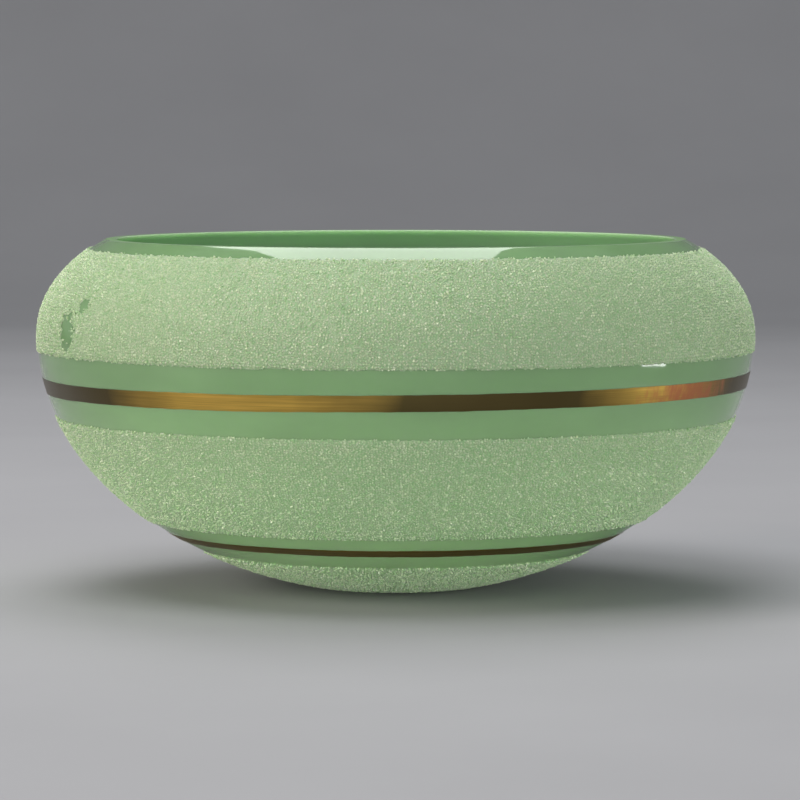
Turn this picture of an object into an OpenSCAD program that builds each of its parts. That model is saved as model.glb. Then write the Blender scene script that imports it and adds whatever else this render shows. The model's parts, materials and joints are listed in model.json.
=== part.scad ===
// Squat glass bowl with an in-curved shoulder, an open mouth and a ground foot.
// Three bands of fused glass grains and two fired gold rings lie on the outside.
// The origin is on the table, under the middle of the foot. Millimetres, +Z up.

/* [Bowl] */
// Outside diameter of the glass at its widest line
widest_d = 248.8; // [208:0.2:310]
// Height of the widest line above the table
belly_h = 87; // [70:0.5:110]
// Height of the rim above the widest line
shoulder_h = 34.2; // [26:0.2:45]
// Outside diameter of the rim
mouth_d = 201.8; // [160:0.2:206]
// Diameter of the flat ground foot
foot_d = 47.4; // [30:0.2:60]
// Fullness of the curve below the widest line, where 2 is an ellipse
belly_fullness = 1.96; // [1.8:0.01:2.3]
// Fullness of the curve above the widest line, where 2 is an ellipse
shoulder_fullness = 2.2; // [1.9:0.01:2.6]

/* [Wall] */
// Thickness of the wall at the widest line
wall_t = 3; // [2:0.1:5]
// Thickness of the floor over the foot
floor_t = 5; // [4:0.1:8]
// Width of the flat ground rim
rim_w = 4; // [3:0.1:6]
// How much the mouth is ground back, which leaves a short upright inner edge
mouth_grind = 1.2; // [0.6:0.1:2]

/* [Grain bands] */
// Thickness of the fused grains
grain_t = 0.8; // [0.5:0.05:1.2]
// Height of the bare lip between the rim and the shoulder grains
lip_h = 3.4; // [2:0.1:6]
// How far the shoulder grains reach below the widest line
shoulder_grain_drop = 4.5; // [2:0.1:8]
// Depth of the belly grains' upper edge below the widest line
belly_grain_drop = 27; // [22:0.1:32]
// Height of the belly grains' lower edge above the table
belly_grain_base = 24; // [22.5:0.1:32]
// Height of the base grains' upper edge above the table
base_grain_top = 13; // [8:0.1:16]
// Height of the base grains' ground underside above the table
base_grain_gap = 0.2; // [0.1:0.05:0.3]
// Width of the bare ring between the foot and the base grains
foot_ring_w = 3.4; // [3:0.1:6]

/* [Gold] */
// Thickness of the fired gold
gold_t = 0.1; // [0.08:0.01:0.2]
// Depth of the wide band's upper edge below the widest line
gold_band_drop = 12.4; // [10:0.1:16]
// Height of the wide gold band
gold_band_h = 5.4; // [3:0.1:6]
// Height of the narrow line's lower edge above the table
gold_line_base = 17.8; // [16.5:0.1:19]
// Height of the narrow gold line
gold_line_h = 2.2; // [1:0.1:3]

/* [Hidden] */

$fn = 180;
CURVE_STEPS = 28;      // straight steps in each half of an outline

widest_r = widest_d / 2;
mouth_r = mouth_d / 2;
foot_r = foot_d / 2;
rim_z = belly_h + shoulder_h;
cavity_r = widest_r - wall_t;
mouth_bore_r = mouth_r - rim_w;
cavity_mouth_r = mouth_bore_r - mouth_grind;
glass_color = [0.36, 0.58, 0.36];
grain_color = [0.70, 0.80, 0.62];
gold_color = [0.62, 0.48, 0.20];

// An outline is two quarter superellipses that meet at the widest line.

// Vertical half-axis of a superellipse of half-width `wide`, whose radius is
// `r` at the distance `away` from its widest line.
function half_axis(wide, r, away, fullness) =
    away / pow(1 - pow(r / wide, fullness), 1 / fullness);

// Angle at which the same superellipse has the radius `r`.
function end_angle(wide, r, fullness) = acos(pow(r / wide, fullness / 2));

// Point of it at angle `a` from the widest line, moved `out` along its normal.
// `side` is -1 below the widest line and 1 above it.
function curve_point(wide, tall, fullness, a, side, out) =
    let (
        r = wide * pow(cos(a), 2 / fullness),
        z = tall * pow(sin(a), 2 / fullness),
        normal_r = pow(cos(a), 2 - 2 / fullness) / wide,
        normal_z = pow(sin(a), 2 - 2 / fullness) / tall,
        length = norm([normal_r, normal_z])
    )
    [r + out * normal_r / length, belly_h + side * (z + out * normal_z / length)];

// Below the widest line: from the radius `r` at the height `z`, outwards.
function lower_curve(wide, r, z, out = 0) =
    let (
        tall = half_axis(wide, r, belly_h - z, belly_fullness),
        last = end_angle(wide, r, belly_fullness)
    )
    [for (i = [CURVE_STEPS : -1 : 1])
        curve_point(wide, tall, belly_fullness, last * i / CURVE_STEPS, -1, out)];

// Above the widest line: from that line in to the radius `r` at the rim.
function upper_curve(wide, r, out = 0) =
    let (
        tall = half_axis(wide, r, shoulder_h, shoulder_fullness),
        last = end_angle(wide, r, shoulder_fullness)
    )
    [for (i = [0 : CURVE_STEPS])
        curve_point(wide, tall, shoulder_fullness, last * i / CURVE_STEPS, 1, out)];

// Half section of the bowl as if it were solid, grown by `out` all over.
module solid_section(out = 0) {
    side = concat(lower_curve(widest_r, foot_r, 0, out),
                  upper_curve(widest_r, mouth_r, out));
    polygon(concat([[0, side[0].y]], side, [[0, side[len(side) - 1].y]]));
}

// Half section of the hollow. Its curve runs a little past the mouth's edge.
module cavity_section() {
    polygon(concat([[0, floor_t]],
                   lower_curve(cavity_r, foot_r, floor_t),
                   upper_curve(cavity_r, cavity_mouth_r),
                   [[0, rim_z]]));
}

// A layer `thickness` thick on the glass, between two heights.
module layer(thickness, low_z, high_z, inner_r = 0) {
    rotate_extrude()
        intersection() {
            difference() {
                solid_section(thickness);
                solid_section();
            }
            translate([inner_r, low_z])
                square([widest_r + thickness - inner_r, high_z - low_z]);
        }
}

module glass_body() {
    color(glass_color)
        rotate_extrude()
            difference() {
                solid_section();
                cavity_section();
                translate([0, belly_h])
                    square([mouth_bore_r, shoulder_h]);
            }
}

module frit_band_shoulder() {
    color(grain_color)
        layer(grain_t, belly_h - shoulder_grain_drop, rim_z - lip_h);
}

module gold_band_wide() {
    color(gold_color)
        layer(gold_t, belly_h - gold_band_drop - gold_band_h, belly_h - gold_band_drop);
}

module frit_band_belly() {
    color(grain_color)
        layer(grain_t, belly_grain_base, belly_h - belly_grain_drop);
}

module gold_line_narrow() {
    color(gold_color)
        layer(gold_t, gold_line_base, gold_line_base + gold_line_h);
}

module frit_band_base() {
    color(grain_color)
        layer(grain_t, base_grain_gap, base_grain_top, foot_r + foot_ring_w);
}

glass_body();
frit_band_shoulder();
gold_band_wide();
frit_band_belly();
gold_line_narrow();
frit_band_base();
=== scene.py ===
import json
import math

import bpy
import numpy as np
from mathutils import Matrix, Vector, noise

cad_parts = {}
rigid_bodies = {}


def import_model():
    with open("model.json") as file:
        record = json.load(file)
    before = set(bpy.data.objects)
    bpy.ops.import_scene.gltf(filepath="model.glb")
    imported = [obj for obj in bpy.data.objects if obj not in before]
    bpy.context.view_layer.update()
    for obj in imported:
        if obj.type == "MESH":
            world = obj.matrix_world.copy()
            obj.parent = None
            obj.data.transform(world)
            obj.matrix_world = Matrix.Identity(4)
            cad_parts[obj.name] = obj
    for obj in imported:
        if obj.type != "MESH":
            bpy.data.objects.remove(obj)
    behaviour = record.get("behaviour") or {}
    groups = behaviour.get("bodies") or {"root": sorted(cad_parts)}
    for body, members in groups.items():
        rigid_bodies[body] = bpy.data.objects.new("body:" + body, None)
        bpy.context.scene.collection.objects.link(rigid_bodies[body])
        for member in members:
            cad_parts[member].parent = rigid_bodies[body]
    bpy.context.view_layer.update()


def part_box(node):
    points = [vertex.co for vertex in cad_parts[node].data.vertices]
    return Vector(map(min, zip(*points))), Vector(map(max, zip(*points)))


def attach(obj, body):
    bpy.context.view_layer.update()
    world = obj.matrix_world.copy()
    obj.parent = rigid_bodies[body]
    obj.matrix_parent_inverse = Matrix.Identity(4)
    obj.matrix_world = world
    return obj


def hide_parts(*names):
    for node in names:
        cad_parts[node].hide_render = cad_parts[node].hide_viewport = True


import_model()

bl_info = {
    "name": "Grain-Banded Glass Bowl",
    "version": (1, 0, 0),
    "blender": (4, 5, 0),
    "location": "3D View > Sidebar > Glass Bowl",
    "description": "Finishes a squat glass bowl with fused grain bands and fired gold rings",
    "category": "Add Mesh",
}

WALL_LOW, WALL_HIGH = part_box("glass_body")
MM = 0.001
FULL_TURN = 2 * math.pi

# ---------------------------------------------------------------- settings

class BowlSizes(bpy.types.PropertyGroup):
    """Sizes of the glass that a node's box doesn't give."""

    belly_height: bpy.props.FloatProperty(
        name="Belly height", description="Height of the widest line above the table",
        default=0.087, min=0.07, max=0.11, unit="LENGTH")
    mouth_radius: bpy.props.FloatProperty(
        name="Mouth radius", description="Outside radius of the rim",
        default=0.1009, min=0.08, max=0.103, unit="LENGTH")
    foot_radius: bpy.props.FloatProperty(
        name="Foot radius", description="Radius of the flat ground foot",
        default=0.0237, min=0.015, max=0.03, unit="LENGTH")
    belly_fullness: bpy.props.FloatProperty(
        name="Belly fullness", description="Superellipse power below the widest line",
        default=1.96, min=1.8, max=2.3)
    shoulder_fullness: bpy.props.FloatProperty(
        name="Shoulder fullness", description="Superellipse power above the widest line",
        default=2.2, min=1.9, max=2.6)
    wall: bpy.props.FloatProperty(
        name="Wall", description="Thickness of the wall at the widest line",
        default=0.003, min=0.002, max=0.005, unit="LENGTH")
    floor: bpy.props.FloatProperty(
        name="Floor", description="Thickness of the glass over the foot",
        default=0.005, min=0.004, max=0.008, unit="LENGTH")
    rim_width: bpy.props.FloatProperty(
        name="Rim width", description="Width of the flat ground rim",
        default=0.004, min=0.003, max=0.006, unit="LENGTH")
    mouth_grind: bpy.props.FloatProperty(
        name="Mouth grind", description="How far the mouth is ground back inside",
        default=0.0012, min=0.0006, max=0.002, unit="LENGTH")
    edge_round: bpy.props.FloatProperty(
        name="Edge round", description="Width of the fire-polished edges of the rim",
        default=0.0004, min=0.0001, max=0.001, unit="LENGTH")


class GrainSizes(bpy.types.PropertyGroup):
    """How the glass grains are sown on the bands."""

    grain: bpy.props.FloatProperty(
        name="Grain size", description="Length of a middling grain",
        default=0.00092, min=0.0005, max=0.002, unit="LENGTH")
    spacing: bpy.props.FloatProperty(
        name="Spacing", description="Least distance between the middles of two grains",
        default=0.00072, min=0.0005, max=0.002, unit="LENGTH")
    lift: bpy.props.FloatProperty(
        name="Lift", description="Height of the grains' middles over the glass",
        default=0.00020, min=0.0, max=0.0006, unit="LENGTH")
    coat: bpy.props.FloatProperty(
        name="Coat", description="Thickness of the melted coat that the grains sit in",
        default=0.00024, min=0.0001, max=0.0006, unit="LENGTH")
    ragged: bpy.props.FloatProperty(
        name="Ragged edge", description="How far the bands' edges come and go",
        default=0.0006, min=0.0, max=0.003, unit="LENGTH")
    seed: bpy.props.IntProperty(
        name="Seed", description="Changes where every grain falls", default=7, min=0)


class GoldSizes(bpy.types.PropertyGroup):
    """How the two gold rings are painted."""

    paint: bpy.props.FloatProperty(
        name="Paint", description="Thickness of the fired gold",
        default=0.0001, min=0.00005, max=0.0003, unit="LENGTH")
    tilt: bpy.props.FloatProperty(
        name="Tilt", description="How far the wide ring climbs towards +X",
        default=0.0011, min=0.0, max=0.003, unit="LENGTH")
    wobble: bpy.props.FloatProperty(
        name="Wobble", description="How far the brush strays at the rings' edges",
        default=0.00022, min=0.0, max=0.001, unit="LENGTH")


class BowlColours(bpy.types.PropertyGroup):
    """Colours of the glass, the grains, the gold and the stage, in linear RGB."""

    glass: bpy.props.FloatVectorProperty(
        name="Glass", description="Milky green of the glass", subtype="COLOR",
        default=(0.155, 0.280, 0.120), min=0, max=1)
    # Painted light: the inside is painted paler than the outside glass, in place of light
    # coming through the wall.
    inside: bpy.props.FloatVectorProperty(
        name="Inside", description="The glass seen from within, where it is paler",
        subtype="COLOR", default=(0.325, 0.48, 0.30), min=0, max=1)
    grain_pale: bpy.props.FloatVectorProperty(
        name="Pale grain", description="Palest of the grains", subtype="COLOR",
        default=(0.49, 0.56, 0.365), min=0, max=1)
    grain_deep: bpy.props.FloatVectorProperty(
        name="Deep grain", description="Greenest of the grains", subtype="COLOR",
        default=(0.235, 0.38, 0.185), min=0, max=1)
    gold: bpy.props.FloatVectorProperty(
        name="Gold", description="Fired gold", subtype="COLOR",
        default=(0.60, 0.39, 0.085), min=0, max=1)
    # The colour painted on one red stretch of the gold.
    red_stretch_colour: bpy.props.FloatVectorProperty(
        name="Copper", description="Reddened stretch of the gold", subtype="COLOR",
        default=(0.50, 0.19, 0.075), min=0, max=1)
    # Painted reflection: dark stretches of the gold, mostly where it would mirror dark
    # surroundings, partly browning.
    dark_reflection_and_patina: bpy.props.FloatVectorProperty(
        name="Patina", description="Browned stretches of the gold", subtype="COLOR",
        default=(0.100, 0.077, 0.029), min=0, max=1)
    stage: bpy.props.FloatVectorProperty(
        name="Stage", description="Pale floor and backdrop", subtype="COLOR",
        default=(0.32, 0.32, 0.332), min=0, max=1)


class CameraPlace(bpy.types.PropertyGroup):
    """Where the camera stands and how long its lens is."""

    distance: bpy.props.FloatProperty(
        name="Distance", description="From the bowl's axis to the camera",
        default=1.5189, min=0.5, max=5, unit="LENGTH")
    height: bpy.props.FloatProperty(
        name="Height", description="Height of the camera above the table",
        default=0.1690, min=0.05, max=1, unit="LENGTH")
    sideways: bpy.props.FloatProperty(
        name="Sideways", description="How far right of the axis the camera stands",
        default=0.0015, min=-0.5, max=0.5, unit="LENGTH")
    pitch: bpy.props.FloatProperty(
        name="Pitch", description="How far the camera looks down",
        default=math.radians(3.926), min=0, max=1, subtype="ANGLE")
    lens: bpy.props.FloatProperty(
        name="Lens", description="Focal length on a 36 mm sensor",
        default=196.3, min=20, max=400)


# ---------------------------------------------------------------- the curve

class Outline:
    """A side of the bowl: two quarter superellipses that meet at the widest line."""

    # Places at which a stretch of the curve is measured.
    SAMPLES = 600

    def __init__(self, sizes, widest, foot_radius, foot_height, mouth_radius):
        self.widest = widest
        self.belly = sizes.belly_height
        self.fullness = {-1: sizes.belly_fullness, 1: sizes.shoulder_fullness}
        ends = {-1: (foot_radius, foot_height), 1: (mouth_radius, WALL_HIGH.z)}
        # How tall each quarter would be if it ran on to the axis.
        self.tall = {
            side: abs(self.belly - height)
            / (1 - (radius / widest) ** self.fullness[side]) ** (1 / self.fullness[side])
            for side, (radius, height) in ends.items()
        }

    def angle(self, height):
        """Signed angle from the widest line at which the curve has this height."""
        side = -1 if height < self.belly else 1
        share = min(1.0, abs(height - self.belly) / self.tall[side])
        return side * math.asin(share ** (self.fullness[side] / 2))

    def point(self, angle, out=0.0):
        """Radius and height at a signed angle, moved out along the normal."""
        side = -1 if angle < 0 else 1
        power = 2 / self.fullness[side]
        tall = self.tall[side]
        across, along = math.cos(abs(angle)), math.sin(abs(angle))
        normal = Vector((across ** (2 - power) / self.widest, along ** (2 - power) / tall))
        normal.normalize()
        radius = self.widest * across ** power + out * normal.x
        height = self.belly + side * (tall * along ** power + out * normal.y)
        return radius, height

    def at(self, height, out=0.0):
        """Radius and height where the curve has this height, moved out."""
        return self.point(self.angle(height), out)

    def run(self, low, high, gap, out=0.0):
        """Points from one height to another, about a gap apart along the curve."""
        angles = np.linspace(self.angle(low), self.angle(high), self.SAMPLES)
        fine = np.array([self.point(a, out) for a in angles])
        travelled = np.concatenate(
            [[0], np.cumsum(np.hypot(*np.diff(fine, axis=0).T))])
        steps = max(2, math.ceil(travelled[-1] / gap))
        marks = np.linspace(0, travelled[-1], steps + 1)
        radii = np.interp(marks, travelled, fine[:, 0])
        heights = np.interp(marks, travelled, fine[:, 1])
        return list(zip(radii, heights))


def outside(sizes):
    """The curve of the glass's outside, from the foot to the mouth."""
    return Outline(sizes, WALL_HIGH.x, sizes.foot_radius, WALL_LOW.z, sizes.mouth_radius)


def cavity(sizes):
    """The curve of the hollow, from the top of the floor to the mouth."""
    mouth = sizes.mouth_radius - sizes.rim_width - sizes.mouth_grind
    return Outline(sizes, WALL_HIGH.x - sizes.wall, sizes.foot_radius, sizes.floor, mouth)


# ---------------------------------------------------------------- modelling

def select_none():
    if bpy.context.object and bpy.context.object.mode != "OBJECT":
        bpy.ops.object.mode_set(mode="OBJECT")
    bpy.ops.object.select_all(action="DESELECT")


def select_only(piece):
    select_none()
    piece.select_set(True)
    bpy.context.view_layer.objects.active = piece


def draw_section(name, points, azimuth=0.0):
    """An object with one line through (radius, height) points, left in edit mode."""
    select_none()
    bpy.ops.mesh.primitive_plane_add(size=MM)
    section = bpy.context.object
    section.name = section.data.name = name
    bpy.ops.object.mode_set(mode="EDIT")
    bpy.ops.mesh.select_mode(type="VERT")
    bpy.ops.mesh.select_all(action="SELECT")
    bpy.ops.mesh.merge(type="CENTER")
    places = [
        Vector((radius * math.cos(azimuth), radius * math.sin(azimuth), height))
        for radius, height in points
    ]
    bpy.ops.transform.translate(value=places[0])
    for here, there in zip(places, places[1:]):
        bpy.ops.mesh.extrude_region_move(
            TRANSFORM_OT_translate={"value": there - here})
    bpy.ops.mesh.select_all(action="SELECT")
    return section


# Vertices nearer than this are merged where a spun section meets itself.
WELD = 0.02 * MM

# Edges that turn more than this stay crisp on the thin layers.
SHARP = math.radians(40)


def spin_section(section, steps, turn=FULL_TURN):
    """Spins the line being edited about the bowl's axis and closes the seam."""
    bpy.ops.object.mode_set(mode="OBJECT")
    bpy.ops.object.modifier_add(type="SCREW")
    spin = section.modifiers[-1]
    spin.axis = "Z"
    spin.angle = turn
    spin.steps = spin.render_steps = steps
    bpy.ops.object.modifier_apply(modifier=spin.name)
    bpy.ops.object.mode_set(mode="EDIT")
    bpy.ops.mesh.select_all(action="SELECT")
    bpy.ops.mesh.remove_doubles(threshold=WELD)
    bpy.ops.mesh.normals_make_consistent(inside=False)
    bpy.ops.object.mode_set(mode="OBJECT")
    return section


def vertex_places(mesh):
    places = np.empty(len(mesh.vertices) * 3, dtype=np.float32)
    mesh.vertices.foreach_get("co", places)
    return places.reshape(-1, 3)


def write_places(mesh, places):
    mesh.vertices.foreach_set("co", np.ascontiguousarray(places, np.float32).ravel())
    mesh.update()


def from_front(x, y):
    """Azimuth of a place round the bowl: 0 at the front (-Y), growing towards +X."""
    return math.atan2(x, -y)


def finish_piece(piece, node, slot, *materials):
    """Gives a piece its finishes, and ties it to the frame in its node's place."""
    piece.data.materials.clear()
    for material in materials:
        piece.data.materials.append(material)
    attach(piece, "root")
    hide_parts(node)


# ---------------------------------------------------------------- materials

# Painted light: how many times brighter each colour channel is painted at the foot than at
# the wide belt, in place of light carried through the glass.
OUTSIDE_PAINTED_GLOW = (2.5, 2.3, 2.4)
NO_GLOW = (1, 1, 1)
GRAIN_PAINTED_GLOW = (1.5, 1.7, 1.5)
# Heights below which the painted glow is full, and above which there is none.
GLOW_FULL, GLOW_NONE = 5 * MM, 75 * MM
GLASS_IOR = 1.52
# Values that a noise pattern mostly keeps between.
NOISE_RANGE = (0.3, 0.7)


def put(tree, kind, inputs=None, **settings):
    """Adds a node, sets it up, and links or fills its inputs by name or number."""
    node = tree.nodes.new(kind)
    for name, value in settings.items():
        setattr(node, name, value)
    for name, value in (inputs or {}).items():
        if isinstance(value, bpy.types.NodeSocket):
            tree.links.new(value, node.inputs[name])
        else:
            node.inputs[name].default_value = value
    return node


def new_material(name):
    """A material, its nodes, its shader and its object coordinates."""
    material = bpy.data.materials.new(name)
    material.use_nodes = True
    tree = material.node_tree
    shader = tree.nodes["Principled BSDF"]
    place = put(tree, "ShaderNodeTexCoord").outputs["Object"]
    return material, tree, shader, place


def stretch(tree, place, scale):
    """The same place with its axes scaled, which draws a pattern out or packs it."""
    return put(tree, "ShaderNodeMapping", {"Vector": place, "Scale": scale}).outputs[0]


def cloud(tree, place, scale, detail=2.0, roughness=0.5):
    """Value of a noise pattern; scale counts its lumps in a metre."""
    return put(tree, "ShaderNodeTexNoise", {
        "Vector": place, "Scale": scale, "Detail": detail, "Roughness": roughness,
    }).outputs[0]


def spread(tree, value, from_low, from_high, to_low, to_high):
    """Maps one range of values on to another."""
    return put(tree, "ShaderNodeMapRange", {
        "Value": value, "From Min": from_low, "From Max": from_high,
        "To Min": to_low, "To Max": to_high,
    }).outputs[0]


def vary(tree, pattern, low, high):
    """A value that follows a noise pattern from one limit to the other."""
    return spread(tree, pattern, *NOISE_RANGE, low, high)


def blend(tree, factor, first, second):
    """Mix of two colours, whose sockets lie after those for numbers and vectors."""
    mix = put(tree, "ShaderNodeMix", {0: factor, 6: first, 7: second}, data_type="RGBA")
    return mix.outputs[2]


def painted_glow_low(tree, place, colour, painted_glow):
    """Paints a colour brighter towards the foot, where the glass is thickest: painted glow
    in place of light carried through it.
    """
    height = put(tree, "ShaderNodeSeparateXYZ", {0: place}).outputs["Z"]
    low = spread(tree, height, GLOW_FULL, GLOW_NONE, 1, 0)
    lit = put(tree, "ShaderNodeVectorMath", {0: colour, 1: painted_glow}, operation="MULTIPLY")
    return blend(tree, low, colour, lit.outputs[0])


def raise_bumps(tree, shader, height, depth, strength=1.0):
    bump = put(tree, "ShaderNodeBump", {
        "Height": height, "Distance": depth, "Strength": strength})
    tree.links.new(bump.outputs[0], shader.inputs["Normal"])


def shade(colour, factor):
    """A colour made darker or lighter, with full alpha."""
    return tuple(min(1.0, channel * factor) for channel in colour) + (1.0,)


def let_light_in(shader, share, depth):
    """Lets a share of the light wander in the glass, green light the farthest."""
    shader.inputs["Subsurface Weight"].default_value = share
    shader.inputs["Subsurface Radius"].default_value = (0.8, 1.0, 0.65)
    shader.inputs["Subsurface Scale"].default_value = depth


def milky_glass(name, colour, painted_glow):
    """Clear-surfaced milky green glass, faintly wavy and faintly streaked."""
    material, tree, shader, place = new_material(name)
    streaks = cloud(tree, stretch(tree, place, (1, 1, 2.5)), 22, 3)
    streaked = blend(tree, vary(tree, streaks, 0, 1),
                     shade(colour, 0.94), shade(colour, 1.08))
    # Painted glow: the glass's colour is brightened towards the foot.
    tree.links.new(painted_glow_low(tree, place, streaked, painted_glow), shader.inputs["Base Color"])
    smears = cloud(tree, place, 60, 4, 0.6)
    tree.links.new(spread(tree, smears, 0.35, 0.7, 0.03, 0.09), shader.inputs["Roughness"])
    shader.inputs["IOR"].default_value = GLASS_IOR
    shader.inputs["Specular IOR Level"].default_value = 0.8
    let_light_in(shader, 0.7, 5 * MM)
    raise_bumps(tree, shader, cloud(tree, place, 45, 1), 0.25 * MM, 0.6)
    return material


def ground_glass(colours):
    """The same glass where the rim and the foot are ground flat."""
    material, tree, shader, place = new_material("ground_green_glass")
    dust = cloud(tree, place, 2600, 3, 0.7)
    # Painted shade: the ground glass is darker than the glass itself, so the flat rim stays
    # dark under the top lights.
    colour = blend(tree, vary(tree, dust, 0, 1),
                   shade(colours.glass, 0.65), shade(colours.glass, 0.95))
    tree.links.new(colour, shader.inputs["Base Color"])
    tree.links.new(vary(tree, dust, 0.5, 0.7), shader.inputs["Roughness"])
    shader.inputs["Specular IOR Level"].default_value = 0.25
    raise_bumps(tree, shader, dust, 0.05 * MM)
    return material


def melted_coat(colours):
    """The thin melted layer between the grains."""
    material, tree, shader, place = new_material("melted_grain_coat")
    cells = put(tree, "ShaderNodeTexVoronoi", {"Vector": place, "Scale": 1500})
    gaps = spread(tree, cells.outputs["Distance"], 0.1, 0.7, 0, 1)
    colour = blend(tree, gaps, shade(colours.grain_pale, 0.75), shade(colours.grain_deep, 1))
    # Painted glow: the coat's colour is brightened towards the foot.
    tree.links.new(painted_glow_low(tree, place, colour, GRAIN_PAINTED_GLOW), shader.inputs["Base Color"])
    tree.links.new(spread(tree, gaps, 0, 1, 0.28, 0.45), shader.inputs["Roughness"])
    let_light_in(shader, 0.7, 1.2 * MM)
    raise_bumps(tree, shader, spread(tree, gaps, 0, 1, 1, 0), 0.2 * MM)
    return material


def glass_grains(colours):
    """Crushed glass, from green to cream and now and then white."""
    material, tree, shader, place = new_material("glass_grains")
    tone = put(tree, "ShaderNodeAttribute", attribute_name="tone",
               attribute_type="GEOMETRY").outputs["Fac"]
    ramp = put(tree, "ShaderNodeValToRGB", {"Fac": tone})
    stops = ramp.color_ramp.elements
    stops[0].position, stops[0].color = 0.0, shade(colours.grain_deep, 1)
    stops[1].position, stops[1].color = 0.9, shade(colours.grain_pale, 1)
    top = stops.new(1.0)
    top.color = shade(colours.grain_pale, 1.25)
    clouded = blend(tree, spread(tree, cloud(tree, place, 900, 2), 0.35, 0.65, 0, 0.35),
                    ramp.outputs["Color"], shade(colours.grain_deep, 1.1))
    # Painted glow: the grains' colour is brightened towards the foot.
    tree.links.new(painted_glow_low(tree, place, clouded, GRAIN_PAINTED_GLOW), shader.inputs["Base Color"])
    tree.links.new(spread(tree, tone, 0.5, 1, 0.42, 0.15), shader.inputs["Roughness"])
    shader.inputs["IOR"].default_value = GLASS_IOR
    let_light_in(shader, 0.7, 1.2 * MM)
    raise_bumps(tree, shader, cloud(tree, place, 3000, 2), 0.04 * MM)
    return material


def near(tree, place, middle, pattern, uneven, full, none):
    """1 up to one distance from a place, and 0 past another; the edge is uneven."""
    away = put(tree, "ShaderNodeVectorMath", {0: place, 1: middle},
               operation="DISTANCE").outputs["Value"]
    edge = put(tree, "ShaderNodeMath", {
        0: away, 1: vary(tree, pattern, -uneven, uneven)}, operation="ADD")
    return spread(tree, edge.outputs[0], full, none, 1, 0)


def fired_gold(name, colours, strength, dark_and_brown_places, red_place):
    """Old gold, streaked along the brush and scratched, with dark stretches of painted
    reflection and browning, and a red stretch.
    """
    material, tree, shader, place = new_material(name)
    strokes = cloud(tree, stretch(tree, place, (1, 1, 60)), 30, 4, 0.6)
    worn = cloud(tree, place, 28, 3)
    gold = blend(tree, vary(tree, strokes, 0, 1),
                 shade(colours.gold, 0.75 * strength), shade(colours.gold, 1.2 * strength))
    torn = cloud(tree, stretch(tree, place, (1, 1, 0.35)), 260, 4, 0.7)
    # Painted dark reflections, partly browning, darken the gold round these azimuths.
    for middle in dark_and_brown_places:
        dark_and_brown = near(tree, place, middle, worn, uneven=8 * MM, full=30 * MM, none=60 * MM)
        gold = blend(tree, dark_and_brown, gold, shade(colours.dark_reflection_and_patina, 1))
    red = near(tree, place, red_place, torn, uneven=13 * MM, full=5 * MM, none=24 * MM)
    tree.links.new(blend(tree, red, gold, shade(colours.red_stretch_colour, 1)),
                   shader.inputs["Base Color"])
    shader.inputs["Metallic"].default_value = 1.0
    tree.links.new(vary(tree, worn, 0.28, 0.42), shader.inputs["Roughness"])
    scratches = cloud(tree, stretch(tree, place, (3, 3, 0.6)), 420, 3, 0.7)
    rough = put(tree, "ShaderNodeMath", {0: strokes, 1: scratches}, operation="ADD")
    raise_bumps(tree, shader, rough.outputs[0], 0.03 * MM, 0.7)
    return material


def pale_stage(colours):
    material, tree, shader, place = new_material("pale_stage")
    colour = blend(tree, vary(tree, cloud(tree, place, 6, 4), 0, 1),
                   shade(colours.stage, 0.97), shade(colours.stage, 1.03))
    tree.links.new(colour, shader.inputs["Base Color"])
    shader.inputs["Roughness"].default_value = 0.75
    return material


# ---------------------------------------------------------------- the glass

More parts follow.
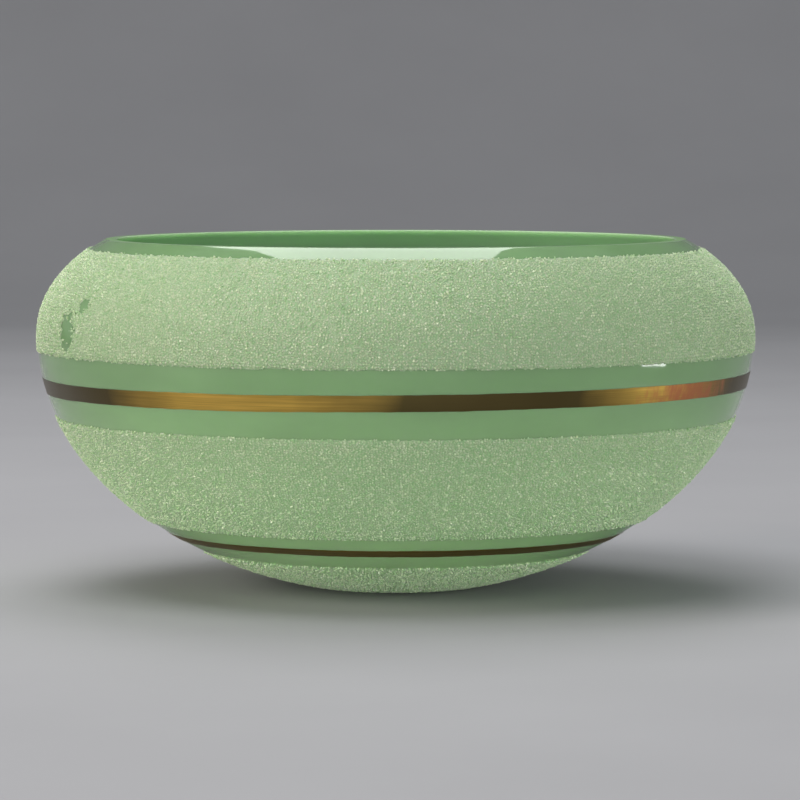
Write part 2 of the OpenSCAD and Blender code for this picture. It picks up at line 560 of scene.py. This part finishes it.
class BOWL_OT_glass_wall(bpy.types.Operator):
    """Spin the glass wall, and grind its rim and foot"""

    bl_idname = "bowl.glass_wall"
    bl_label = "Glass Wall"

    # Between the section's points, and round the bowl.
    GAP = 2.4 * MM
    STEPS = 288

    # Order of the wall's finishes.
    GLASS, GROUND, INSIDE = range(3)

    # A place this near to another counts as the same.
    CLOSE = 0.05 * MM

    # Edges that turn more than this stay crisp on the wall.
    SHARP = math.radians(32)

    def execute(self, context):
        sizes, colours = context.scene.bowl_sizes, context.scene.bowl_colours
        outer, inner = outside(sizes), cavity(sizes)
        rim = WALL_HIGH.z
        bore = sizes.mouth_radius - sizes.rim_width
        # The mouth is ground straight: above the widest line nothing is narrower.
        hollow = [(max(radius, bore) if height > sizes.belly_height else radius, height)
                  for radius, height in inner.run(rim, sizes.floor, self.GAP)]
        points = [(0, WALL_LOW.z), (0.5 * sizes.foot_radius, WALL_LOW.z)]
        points += outer.run(WALL_LOW.z, rim, self.GAP)
        points += hollow + [(0.5 * sizes.foot_radius, sizes.floor), (0, sizes.floor)]
        wall = spin_section(draw_section("glass_wall", points), self.STEPS)
        self.round_edges(wall, (sizes.mouth_radius, bore), rim, sizes.edge_round)
        finish_piece(wall, "glass_body", "green_glass",
                     milky_glass("milky_green_glass", colours.glass, OUTSIDE_PAINTED_GLOW),
                     ground_glass(colours),
                     # Painted light: the paler inside stands in for light coming through the
                     # wall.
                     milky_glass("milky_inside_painted_pale", colours.inside, NO_GLOW))
        self.mark_finishes(wall, rim)
        bpy.ops.object.shade_smooth_by_angle(angle=self.SHARP)
        return {"FINISHED"}

    def round_edges(self, wall, radii, rim, width):
        """Rounds the rings of edges where the flat rim ends."""
        bpy.ops.object.mode_set(mode="EDIT")
        bpy.ops.mesh.select_mode(type="EDGE")
        bpy.ops.mesh.select_all(action="DESELECT")
        bpy.ops.object.mode_set(mode="OBJECT")
        mesh = wall.data
        for edge in mesh.edges:
            ends = [mesh.vertices[v].co for v in edge.vertices]
            edge.select = all(
                abs(end.z - rim) < self.CLOSE
                and min(abs(end.xy.length - r) for r in radii) < self.CLOSE
                for end in ends)
        bpy.ops.object.mode_set(mode="EDIT")
        bpy.ops.mesh.bevel(offset=width, segments=3)
        bpy.ops.mesh.select_all(action="DESELECT")
        bpy.ops.object.mode_set(mode="OBJECT")

    def mark_finishes(self, wall, rim):
        """The ground finish on the flat rim and foot, and the inside's finish, painted paler
        in place of light coming through the wall.
        """
        for face in wall.data.polygons:
            on_rim = face.normal.z > 0.99 and face.center.z > rim - self.CLOSE
            on_foot = face.normal.z < -0.99 and face.center.z < WALL_LOW.z + self.CLOSE
            faces_in = face.normal.xy.dot(face.center.xy) < 0
            on_floor = face.normal.z > 0.9 and face.center.z < rim / 2
            if on_rim or on_foot:
                face.material_index = self.GROUND
            elif faces_in or on_floor:
                face.material_index = self.INSIDE
            else:
                face.material_index = self.GLASS


# ---------------------------------------------------------------- the grains

# Each band's name, its node, and in how many parts its grains are modelled.
GRAIN_BANDS = (
    ("shoulder", "frit_band_shoulder", 4),
    ("belly", "frit_band_belly", 4),
    ("base", "frit_band_base", 2),
)

# Where grains have come off: azimuth in degrees, height, half-width, half-height.
BARE_PATCHES = (
    (-62.8, 0.0912, 0.0050, 0.0062),
    (-58.6, 0.1008, 0.0036, 0.0022),
)


class Band:
    """One band of grains: where it lies on the glass, and where it is bare."""

    # Lumps in a metre of a band's edge, and the width over which its grains thin out.
    LUMPS = 700
    THINNING = 0.6 * MM

    # Where a bare patch ends, as a share of its half-sizes, and how sharply.
    PATCH_EDGE = 0.85
    PATCH_SHARPNESS = 1.8

    def __init__(self, node, sizes, grains):
        low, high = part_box(node)
        self.low, self.high = low.z, high.z
        self.outline = outside(sizes)
        self.ragged = grains.ragged
        self.seed = grains.seed

    def cover(self, place):
        """1 where the glass is covered with grains, 0 where it is bare."""
        x, y, z = place
        lumps = noise.noise(Vector((x, y, z)) * self.LUMPS + Vector((self.seed, 0, 0)))
        edge = min(z - self.low, self.high - z)
        covered = 0.5 + (edge - self.ragged * (0.35 + 0.65 * lumps)) / self.THINNING
        azimuth = math.degrees(from_front(x, y))
        for middle, height, half_width, half_height in BARE_PATCHES:
            aside = math.radians(azimuth - middle) * self.outline.widest / half_width
            above = (z - height) / half_height
            from_patch = math.hypot(aside, above) - self.PATCH_EDGE + lumps
            covered = min(covered, self.PATCH_SHARPNESS * from_patch)
        return max(0.0, min(1.0, covered))


class BOWL_OT_grain_coats(bpy.types.Operator):
    """Spin the thin melted coat under each band of grains"""

    bl_idname = "bowl.grain_coats"
    bl_label = "Grain Coats"

    # Round the bowl, and between the section's points on the skin and on the back.
    STEPS = 640
    SKIN_GAP, BACK_GAP = 1.2 * MM, 12 * MM

    # How far inside the glass the coat's back lies, and its skin where it is bare.
    BACK = 0.5 * MM
    SUNK = 0.15 * MM

    # Lumps in a metre of the coat's skin.
    LUMPS = 620

    def execute(self, context):
        scene = context.scene
        material = melted_coat(scene.bowl_colours)
        for name, node, _ in GRAIN_BANDS:
            band = Band(node, scene.bowl_sizes, scene.bowl_grains)
            coat = self.spin_coat("grain_coat_" + name, band)
            self.shape_coat(coat, band, scene.bowl_grains.coat)
            finish_piece(coat, node, "glass_grains", material)
            select_only(coat)
            bpy.ops.object.shade_smooth_by_angle(angle=SHARP)
        return {"FINISHED"}

    def spin_coat(self, name, band):
        """A closed ring: its skin lies on the glass, and its back just inside it."""
        skin = band.outline.run(band.low, band.high, self.SKIN_GAP)
        back = band.outline.run(band.high, band.low, self.BACK_GAP, -self.BACK)
        return spin_section(draw_section(name, skin + back + skin[:1]), self.STEPS)

    def shape_coat(self, coat, band, thickness):
        """Lifts the skin where grains lie, and sinks it where the glass is bare."""
        places = vertex_places(coat.data)
        for number, (x, y, z) in enumerate(places):
            angle = band.outline.angle(float(z))
            radius, height = band.outline.point(angle)
            on_back = math.hypot(x, y) < radius - self.BACK / 2
            if on_back:
                continue
            covered = band.cover((float(x), float(y), float(z)))
            lumps = noise.noise(Vector((x, y, z)) * self.LUMPS)
            out = covered * thickness * (1 + 0.5 * lumps) - (1 - covered) * self.SUNK
            radius, height = band.outline.point(angle, out)
            turn = math.atan2(y, x)
            places[number] = (radius * math.cos(turn), radius * math.sin(turn), height)
        write_places(coat.data, places)


class BOWL_OT_glass_grains(bpy.types.Operator):
    """Sow the bands with crushed glass grains"""

    bl_idname = "bowl.glass_grains"
    bl_label = "Glass Grains"

    # How many shapes of grain there are, their proportions, and how uneven they are.
    SHAPES = 6
    PROPORTIONS = (1.05, 0.85, 0.78)
    UNEVENNESS = 0.17

    # Smallest and largest of the grains, as shares of a middling one.
    SMALLEST, LARGEST = 0.62, 1.18

    # Between the places at which a bed of grains is weighted.
    BED_GAP = 1 * MM

    # For each kind of random value: its first input and its output on the node.
    SOCKETS = {"FLOAT_VECTOR": (0, 0), "FLOAT": (2, 1), "INT": (4, 2)}

    def execute(self, context):
        scene = context.scene
        grains = scene.bowl_grains
        material = glass_grains(scene.bowl_colours)
        shapes = self.model_shapes(grains)
        for order, (name, node, parts) in enumerate(GRAIN_BANDS):
            band = Band(node, scene.bowl_sizes, grains)
            for part in range(parts):
                bed = self.spin_bed(f"glass_grains_{name}_{part + 1}", band, grains,
                                    part, parts)
                self.sow(bed, shapes, grains, grains.seed + 10 * order + part)
                self.grind(bed, band.low)
                self.lay_out_map(bed, band, part, parts)
                finish_piece(bed, node, "glass_grains", material)
        for shape in list(shapes.objects):
            bpy.data.objects.remove(shape)
        bpy.data.collections.remove(shapes)
        return {"FINISHED"}

    def model_shapes(self, grains):
        """A few angular grains, each with its own uneven facets."""
        shapes = bpy.data.collections.new("grain_shapes")
        bpy.context.scene.collection.children.link(shapes)
        for number in range(self.SHAPES):
            select_none()
            bpy.ops.mesh.primitive_uv_sphere_add(
                segments=4, ring_count=3, radius=grains.grain / 2)
            shape = bpy.context.object
            shape.name = f"grain_shape_{number + 1}"
            bpy.ops.object.mode_set(mode="EDIT")
            bpy.ops.mesh.select_all(action="SELECT")
            bpy.ops.transform.resize(value=self.PROPORTIONS)
            bpy.ops.transform.vertex_random(
                offset=self.UNEVENNESS * grains.grain, uniform=1.0,
                seed=grains.seed + number)
            bpy.ops.object.mode_set(mode="OBJECT")
            for home in list(shape.users_collection):
                home.objects.unlink(shape)
            shapes.objects.link(shape)
        return shapes

    def spin_bed(self, name, band, grains, part, parts):
        """A strip of the band, weighted by how well it is covered."""
        turn = FULL_TURN / parts
        line = band.outline.run(band.low, band.high, self.BED_GAP, grains.lift)
        bed = draw_section(name, line, part * turn)
        spin_section(bed, round(turn * WALL_HIGH.x / self.BED_GAP), turn)
        group = bed.vertex_groups.new(name="cover")
        for vertex in bed.data.vertices:
            group.add([vertex.index], band.cover(vertex.co), "REPLACE")
        # An open strip can come out facing the axis.
        face = bed.data.polygons[len(bed.data.polygons) // 2]
        if face.normal.xy.dot(face.center.xy) < 0:
            bed.data.flip_normals()
        return bed

    def sow(self, bed, shapes, grains, seed):
        """Scatters the grains on the bed with a modifier, and applies it."""
        tree = self.scatter_tree(bed.name + "_scatter", shapes, grains, seed)
        modifier = bed.modifiers.new("scatter", "NODES")
        modifier.node_group = tree
        select_only(bed)
        bpy.ops.object.modifier_apply(modifier=modifier.name)
        bpy.data.node_groups.remove(tree)

    def scatter_tree(self, name, shapes, grains, seed):
        """Nodes that swap a bed for grains, each turned, sized and toned by chance."""
        tree = bpy.data.node_groups.new(name, "GeometryNodeTree")
        for way in ("INPUT", "OUTPUT"):
            tree.interface.new_socket("Geometry", in_out=way,
                                      socket_type="NodeSocketGeometry")
        start = put(tree, "NodeGroupInput")
        cover = put(tree, "GeometryNodeInputNamedAttribute", {"Name": "cover"})
        # The density asks for more grains than fit, so their least distance decides.
        points = put(tree, "GeometryNodeDistributePointsOnFaces", {
            "Mesh": start.outputs[0], "Distance Min": grains.spacing,
            "Density Max": 4.0 / grains.spacing ** 2,
            "Density Factor": cover.outputs["Attribute"], "Seed": seed,
        }, distribute_method="POISSON")
        choice = put(tree, "GeometryNodeCollectionInfo", {
            "Collection": shapes, "Separate Children": True, "Reset Children": True})
        pick = self.chance(tree, "INT", 0, self.SHAPES - 1, seed + 1)
        turn = self.chance(tree, "FLOAT_VECTOR", (0, 0, 0), (FULL_TURN,) * 3, seed + 2)
        size = self.chance(tree, "FLOAT", self.SMALLEST, self.LARGEST, seed + 3)
        sown = put(tree, "GeometryNodeInstanceOnPoints", {
            "Points": points.outputs["Points"], "Instance": choice.outputs[0],
            "Pick Instance": True, "Instance Index": pick, "Rotation": turn,
            "Scale": size})
        tone = self.chance(tree, "FLOAT", 0, 1, seed + 4)
        toned = put(tree, "GeometryNodeStoreNamedAttribute", {
            "Geometry": sown.outputs[0], "Name": "tone", "Value": tone,
        }, data_type="FLOAT", domain="INSTANCE")
        solid = put(tree, "GeometryNodeRealizeInstances", {"Geometry": toned.outputs[0]})
        put(tree, "NodeGroupOutput", {0: solid.outputs[0]})
        return tree

    def grind(self, grains, level):
        """Cuts the grains off level with the band's underside."""
        places = vertex_places(grains.data)
        places[:, 2] = np.maximum(places[:, 2], level)
        write_places(grains.data, places)

    def chance(self, tree, kind, low, high, seed):
        """A random value of one kind between two limits."""
        first, given = self.SOCKETS[kind]
        node = put(tree, "FunctionNodeRandomValue",
                   {first: low, first + 1: high, "Seed": seed}, data_type=kind)
        return node.outputs[given]

    def lay_out_map(self, grains, band, part, parts):
        """A map of the grains as seen from outside: round the band, and up it."""
        mesh = grains.data
        corners = np.empty(len(mesh.loops), dtype=np.int32)
        mesh.loops.foreach_get("vertex_index", corners)
        x, y, z = vertex_places(mesh)[corners].T
        turn = FULL_TURN / parts
        middle = (part + 0.5) * turn
        across = x * math.cos(middle) + y * math.sin(middle)
        beside = y * math.cos(middle) - x * math.sin(middle)
        along = np.arctan2(beside, across) / turn
        (low_r, low_z), (high_r, high_z) = (
            band.outline.at(band.low), band.outline.at(band.high))
        up_r, up_z = high_r - low_r, high_z - low_z
        up = (np.hypot(x, y) - low_r) * up_r + (z - low_z) * up_z
        up = (up - up.min()) / (up.max() - up.min())
        along = (along - along.min()) / (along.max() - along.min())
        while mesh.uv_layers:
            mesh.uv_layers.remove(mesh.uv_layers[0])
        layer = mesh.uv_layers.new(name="OFBake")
        layer.uv.foreach_set("vector", np.column_stack([along, up]).ravel())


# ---------------------------------------------------------------- the gold

# Azimuths of the middles of the gold's dark stretches, mostly painted dark reflection and
# partly browning, and of its red stretch.
DARK_REFLECTION_AND_BROWNING = [math.radians(azimuth) for azimuth in (14, -84, -66, 80, 170)]
RED_STRETCH = math.radians(53)


class BOWL_OT_gold_rings(bpy.types.Operator):
    """Paint the wide gold band and the narrow gold line"""

    bl_idname = "bowl.gold_rings"
    bl_label = "Gold Rings"

    # Round the bowl, and between the section's points on the skin and on the back.
    STEPS = 512
    SKIN_GAP, BACK_GAP = 0.6 * MM, 3 * MM

    # Scales of the noise patterns that lead the brush astray, one slow and one quick.
    SLOW, QUICK = 3.1, 26

    def execute(self, context):
        scene = context.scene
        gold = scene.bowl_gold
        outline = outside(scene.bowl_sizes)
        wide_low, wide_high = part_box("gold_band_wide")
        middle = (wide_low.z + wide_high.z) / 2
        radius, height = outline.at(middle)
        *dark_and_brown_places, red_place = (
            (radius * math.sin(azimuth), -radius * math.cos(azimuth), height)
            for azimuth in (*DARK_REFLECTION_AND_BROWNING, RED_STRETCH))
        rings = (("gold_band", "gold_band_wide", gold.tilt, 1.0),
                 ("gold_line", "gold_line_narrow", 0.0, 0.42))
        for name, node, tilt, strength in rings:
            ring = self.paint_ring(name, node, outline, gold, tilt)
            finish_piece(ring, node, "fired_gold", fired_gold(
                name + "_finish", scene.bowl_colours, strength, dark_and_brown_places, red_place))
            bpy.ops.object.shade_smooth_by_angle(angle=SHARP)
        return {"FINISHED"}

    def paint_ring(self, name, node, outline, gold, tilt):
        """A thin closed ring whose edges follow a brush held by hand."""
        low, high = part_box(node)
        skin = outline.run(low.z, high.z, self.SKIN_GAP, gold.paint)
        back = outline.run(high.z, low.z, self.BACK_GAP, -gold.paint)
        ring = spin_section(draw_section(name, skin + back + skin[:1]), self.STEPS)
        places = vertex_places(ring.data)
        middle, half = (low.z + high.z) / 2, (high.z - low.z) / 2
        for number, (x, y, z) in enumerate(places):
            azimuth = from_front(x, y)
            glass_radius, _ = outline.at(float(z))
            out = gold.paint if math.hypot(x, y) > glass_radius else -gold.paint
            share = max(-1.0, min(1.0, (z - middle) / half))
            brush = self.stray(azimuth, share, tilt) * gold.wobble
            height = float(z) + tilt * math.sin(azimuth) + brush
            radius, height = outline.at(height, out)
            places[number] = (radius * math.sin(azimuth), -radius * math.cos(azimuth),
                              height)
        write_places(ring.data, places)
        select_only(ring)
        return ring

    def stray(self, azimuth, share, offset):
        """How far the brush strays here, about -1 to 1; each edge has its own way."""
        round_place = Vector((math.cos(azimuth), math.sin(azimuth), 0))
        slow = noise.noise(
            round_place * self.SLOW + Vector((0, 0, share + 900 * offset)))
        quick = noise.noise(round_place * self.QUICK + Vector((0, 0, 3 * share)))
        return 0.9 * slow + 0.6 * share * quick


# ---------------------------------------------------------------- the stage

class BOWL_OT_stage(bpy.types.Operator):
    """Set out the pale floor, the soft lights and the camera"""

    bl_idname = "bowl.stage"
    bl_label = "Stage"

    # Width of the floor, height of the backdrop, and reach of the bend between them.
    FLOOR = 6.0
    BACKDROP = 3.2
    BEND = 1.2

    def execute(self, context):
        self.sweep(context.scene.bowl_colours)
        self.lights()
        self.dim_room()
        self.camera(context.scene)
        context.scene.view_settings.view_transform = "Standard"
        return {"FINISHED"}

    def sweep(self, colours):
        """A floor that curves up into the backdrop."""
        select_none()
        bpy.ops.mesh.primitive_plane_add(size=self.FLOOR, location=(0, 0, WALL_LOW.z))
        sweep = bpy.context.object
        sweep.name = "stage_sweep"
        bpy.ops.object.mode_set(mode="EDIT")
        bpy.ops.mesh.select_mode(type="EDGE")
        bpy.ops.mesh.select_all(action="DESELECT")
        bpy.ops.object.mode_set(mode="OBJECT")
        self.select_back_edge(sweep.data)
        bpy.ops.object.mode_set(mode="EDIT")
        bpy.ops.mesh.extrude_region_move(
            TRANSFORM_OT_translate={"value": (0, 0, self.BACKDROP)})
        bpy.ops.object.mode_set(mode="OBJECT")
        self.select_back_edge(sweep.data)
        bpy.ops.object.mode_set(mode="EDIT")
        bpy.ops.mesh.bevel(offset=self.BEND, segments=16)
        bpy.ops.object.mode_set(mode="OBJECT")
        bpy.ops.object.transform_apply(location=True, rotation=True, scale=True)
        bpy.ops.object.shade_smooth()
        sweep.data.materials.append(pale_stage(colours))

    def select_back_edge(self, mesh):
        """Selects the floor's edge behind the bowl, and nothing else."""
        for edge in mesh.edges:
            ends = [mesh.vertices[v].co for v in edge.vertices]
            edge.select = all(
                end.y > 0.49 * self.FLOOR and end.z < self.BACKDROP / 2 for end in ends)

    def lights(self):
        """Soft lights round the bowl: place, width and height, watts and colour."""
        self.softbox("top_softbox", (-0.06, 0.75, 1.5), (0.85, 1.25), 12)
        self.softbox("overhead_softbox", (-0.4, -0.36, 1.7), (1.4, 0.9), 15.5)
        self.softbox("front_strip", (0.1, -2.2, 0.17), (2.6, 0.3), 28)
        self.softbox("left_softbox", (-1.9, -0.7, 0.75), (1.0, 1.2), 27, (1, 0.9, 0.84))
        self.softbox("right_card", (0.34, -0.088, 0.070), (0.055, 0.07), 0.085)
        self.softbox("right_softbox", (1.7, -0.5, 0.35), (0.7, 0.5), 4.5)

    def dim_room(self):
        """Faint light from all round, a little bluish."""
        world = bpy.data.worlds.new("soft_room")
        world.use_nodes = True
        background = world.node_tree.nodes["Background"]
        background.inputs["Color"].default_value = (0.9, 0.95, 1.0, 1)
        background.inputs["Strength"].default_value = 0.32
        bpy.context.scene.world = world

    def softbox(self, name, place, size, power, colour=(1, 1, 1)):
        """A rectangular light that faces the middle of the bowl."""
        light = bpy.data.lights.new(name, "AREA")
        light.shape = "RECTANGLE"
        light.size, light.size_y = size
        light.energy = power
        light.color = colour
        holder = bpy.data.objects.new(name, light)
        bpy.context.scene.collection.objects.link(holder)
        holder.location = place
        aim = Vector((0, 0, WALL_HIGH.z / 2)) - Vector(place)
        holder.rotation_euler = aim.to_track_quat("-Z", "Y").to_euler()

    def camera(self, scene):
        """The camera, as its settings place it."""
        place = scene.bowl_camera
        camera = bpy.data.cameras.new("camera")
        camera.sensor_width = 36
        camera.lens = place.lens
        camera.clip_start, camera.clip_end = 0.05, 50
        holder = bpy.data.objects.new("camera", camera)
        scene.collection.objects.link(holder)
        holder.location = (place.sideways, -place.distance, place.height)
        holder.rotation_euler = (math.pi / 2 - place.pitch, 0, 0)
        scene.camera = holder


# ---------------------------------------------------------------- add-on

class BOWL_PT_sidebar(bpy.types.Panel):
    """Lists the operators, and the sizes and colours that they use"""

    bl_idname = "BOWL_PT_sidebar"
    bl_label = "Glass Bowl"
    bl_space_type = "VIEW_3D"
    bl_region_type = "UI"
    bl_category = "Glass Bowl"

    def draw(self, context):
        layout = self.layout
        for operator in OPERATORS:
            layout.operator(operator.bl_idname)
        for name in SETTINGS:
            group = getattr(context.scene, name)
            box = layout.box()
            box.label(text=group.bl_rna.description)
            for field in group.__annotations__:
                box.prop(group, field)


SETTINGS = {
    "bowl_sizes": BowlSizes,
    "bowl_grains": GrainSizes,
    "bowl_gold": GoldSizes,
    "bowl_colours": BowlColours,
    "bowl_camera": CameraPlace,
}
OPERATORS = (
    BOWL_OT_glass_wall,
    BOWL_OT_grain_coats,
    BOWL_OT_glass_grains,
    BOWL_OT_gold_rings,
    BOWL_OT_stage,
)


def register():
    for name, group in SETTINGS.items():
        bpy.utils.register_class(group)
        setattr(bpy.types.Scene, name, bpy.props.PointerProperty(type=group))
    for cls in (*OPERATORS, BOWL_PT_sidebar):
        bpy.utils.register_class(cls)


def unregister():
    for cls in (BOWL_PT_sidebar, *reversed(OPERATORS)):
        bpy.utils.unregister_class(cls)
    for name, group in reversed(SETTINGS.items()):
        delattr(bpy.types.Scene, name)
        bpy.utils.unregister_class(group)


def main():
    """Builds the bowl and its stage."""
    register()
    bpy.ops.bowl.glass_wall()
    bpy.ops.bowl.grain_coats()
    bpy.ops.bowl.glass_grains()
    bpy.ops.bowl.gold_rings()
    bpy.ops.bowl.stage()


if __name__ == "__main__":
    main()
